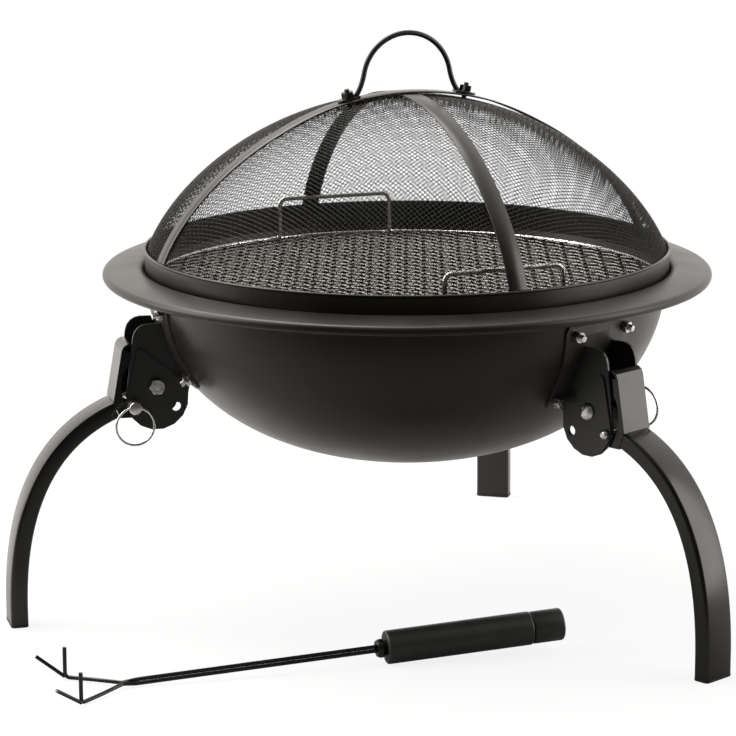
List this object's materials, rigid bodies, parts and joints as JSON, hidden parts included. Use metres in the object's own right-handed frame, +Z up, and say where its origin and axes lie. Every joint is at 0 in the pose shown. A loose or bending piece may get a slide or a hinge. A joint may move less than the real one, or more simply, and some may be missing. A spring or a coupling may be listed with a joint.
{
  "type": "fire pit",
  "caption": "Round steel fire bowl on arched legs that fold in under it, with lock pins, a wire grate, a domed mesh spark guard and a fork poker.",
  "frame": {"origin": "middle of the flat floor inside the bowl", "axes": "+Z up along the bowl's axis; the picture is taken looking along +Y, with +X to its right"},
  "size_m": [0.653, 0.7293, 0.5346],
  "materials": {
    "black_paint": "satin",
    "leg_paint": "satin",
    "screen_wire": "satin",
    "zinc": "satin",
    "chrome": "polished",
    "grip_plastic": "matte"
  },
  "bodies": {
    "fire_bowl": {"bowl": "black_paint", "leg_1_bracket": "leg_paint", "leg_1_pivot_bolt": "zinc", "leg_1_mount_bolt_1": "zinc", "leg_1_mount_bolt_2": "zinc", "leg_1_mount_bolt_3": "zinc", "leg_1_mount_bolt_4": "zinc", "leg_2_bracket": "leg_paint", "leg_2_pivot_bolt": "zinc", "leg_2_mount_bolt_1": "zinc", "leg_2_mount_bolt_2": "zinc", "leg_2_mount_bolt_3": "zinc", "leg_2_mount_bolt_4": "zinc", "leg_3_bracket": "leg_paint", "leg_3_pivot_bolt": "zinc", "leg_3_mount_bolt_1": "zinc", "leg_3_mount_bolt_2": "zinc", "leg_3_mount_bolt_3": "zinc", "leg_3_mount_bolt_4": "zinc"},
    "leg_1": {"leg_1_channel": "leg_paint", "leg_1_tube": "leg_paint", "leg_1_foot_cap": "grip_plastic"},
    "lock_pin_1": {"leg_1_lock_pin": "zinc"},
    "pull_ring_1": {"leg_1_pull_ring": "zinc"},
    "leg_2": {"leg_2_channel": "leg_paint", "leg_2_tube": "leg_paint", "leg_2_foot_cap": "grip_plastic"},
    "lock_pin_2": {"leg_2_lock_pin": "zinc"},
    "pull_ring_2": {"leg_2_pull_ring": "zinc"},
    "leg_3": {"leg_3_channel": "leg_paint", "leg_3_tube": "leg_paint", "leg_3_foot_cap": "grip_plastic"},
    "lock_pin_3": {"leg_3_lock_pin": "zinc"},
    "pull_ring_3": {"leg_3_pull_ring": "zinc"},
    "spark_guard": {"lid_band": "black_paint", "lid_screen": "screen_wire", "strap_upper": "black_paint", "strap_lower": "black_paint", "lid_handle": "black_paint", "lid_handle_bolt_1": "zinc", "lid_handle_bolt_2": "zinc"},
    "grate": {"grate": "chrome", "grate_handle_back": "chrome", "grate_handle_front": "chrome"},
    "poker": {"poker_wire_1": "leg_paint", "poker_wire_2": "leg_paint", "poker_ferrule": "leg_paint", "poker_grip": "grip_plastic", "poker_grip_cap": "grip_plastic"}
  },
  "joints": [
    {"name": "leg_fold_1", "type": "hinge", "parent": "fire_bowl", "child": "leg_1", "pos_m": [-0.23301, -0.06536, 0.0705], "axis": [0.2701, -0.9628, 0], "range_deg": [0, 94]},
    {"name": "pin_pull_1", "type": "slide", "parent": "fire_bowl", "child": "lock_pin_1", "axis": [0.2701, -0.9628, 0], "range_m": [0, 0.046]},
    {"name": "ring_swing_1", "type": "hinge", "parent": "lock_pin_1", "child": "pull_ring_1", "pos_m": [-0.24601, -0.09861, 0.0535], "axis": [-0.9628, -0.2701, 0], "range_deg": [-8, 181]},
    {"name": "leg_fold_2", "type": "hinge", "parent": "fire_bowl", "child": "leg_2", "pos_m": [0.17311, -0.16911, 0.0705], "axis": [0.6988, 0.7153, 0], "range_deg": [0, 94]},
    {"name": "pin_pull_2", "type": "slide", "parent": "fire_bowl", "child": "lock_pin_2", "axis": [0.6988, 0.7153, 0], "range_m": [0, 0.046]},
    {"name": "ring_swing_2", "type": "hinge", "parent": "lock_pin_2", "child": "pull_ring_2", "pos_m": [0.2084, -0.16374, 0.0535], "axis": [0.7153, -0.6988, 0], "range_deg": [-181, 0]},
    {"name": "leg_fold_3", "type": "hinge", "parent": "fire_bowl", "child": "leg_3", "pos_m": [0.0599, 0.23447, 0.0705], "axis": [-0.9689, 0.2475, 0], "range_deg": [0, 94]},
    {"name": "pin_pull_3", "type": "slide", "parent": "fire_bowl", "child": "lock_pin_3", "axis": [-0.9689, 0.2475, 0], "range_m": [0, 0.046]},
    {"name": "ring_swing_3", "type": "hinge", "parent": "lock_pin_3", "child": "pull_ring_3", "pos_m": [0.0376, 0.26236, 0.0535], "axis": [0.2475, 0.9689, 0], "range_deg": [-8, 181]},
    {"name": "lid_lift", "type": "slide", "parent": "fire_bowl", "child": "spark_guard", "axis": [0, 0, 1], "range_m": [0, 0.25]},
    {"name": "grate_lift", "type": "slide", "parent": "fire_bowl", "child": "grate", "axis": [0, 0, 1], "range_m": [0, 0.014]},
    {"name": "poker_lift", "type": "slide", "parent": "fire_bowl", "child": "poker", "axis": [0, 0, 1], "range_m": [0, 0.1]}
  ]
}
